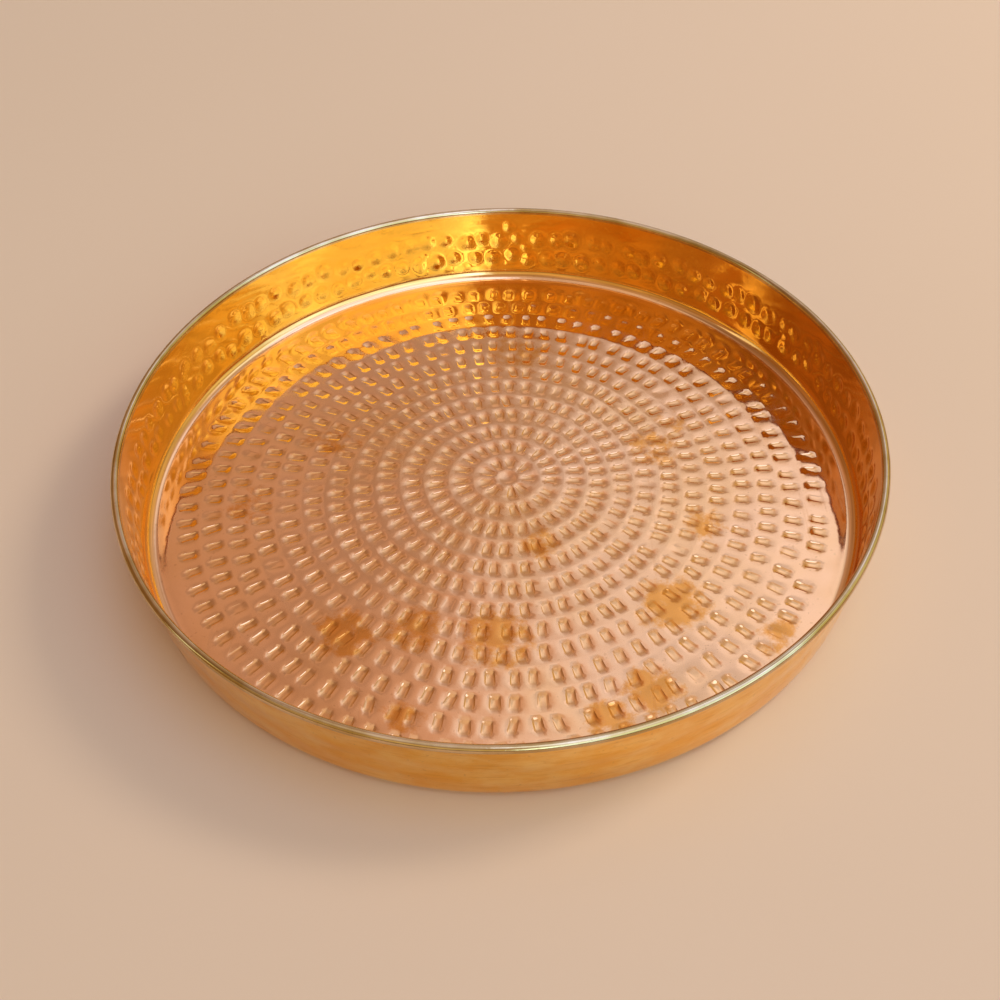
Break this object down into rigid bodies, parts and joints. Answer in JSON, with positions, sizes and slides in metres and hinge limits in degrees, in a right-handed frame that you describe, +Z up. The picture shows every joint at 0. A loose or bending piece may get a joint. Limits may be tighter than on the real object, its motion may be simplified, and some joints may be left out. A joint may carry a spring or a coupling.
{
  "type": "hammered copper tray",
  "caption": "Round flat-based serving tray in hammered copper with a low near-vertical wall and a brass-bound wired rim.",
  "frame": {"origin": "on the tray's axis, at the underside of its flat base", "axes": "+Z up along the tray's axis, out of its open side; X and Y across the rim, with no preferred direction on a round tray"},
  "size_m": [0.4, 0.4, 0.0495],
  "materials": {
    "copper": null,
    "brass": "brass strip, slightly dulled",
    "steel_wire": "plain drawn steel wire, hidden in the rim"
  },
  "bodies": {
    "root": {"tray_pan": "copper", "rim_binding": "brass", "rim_wire": "steel_wire"}
  },
  "joints": []
}
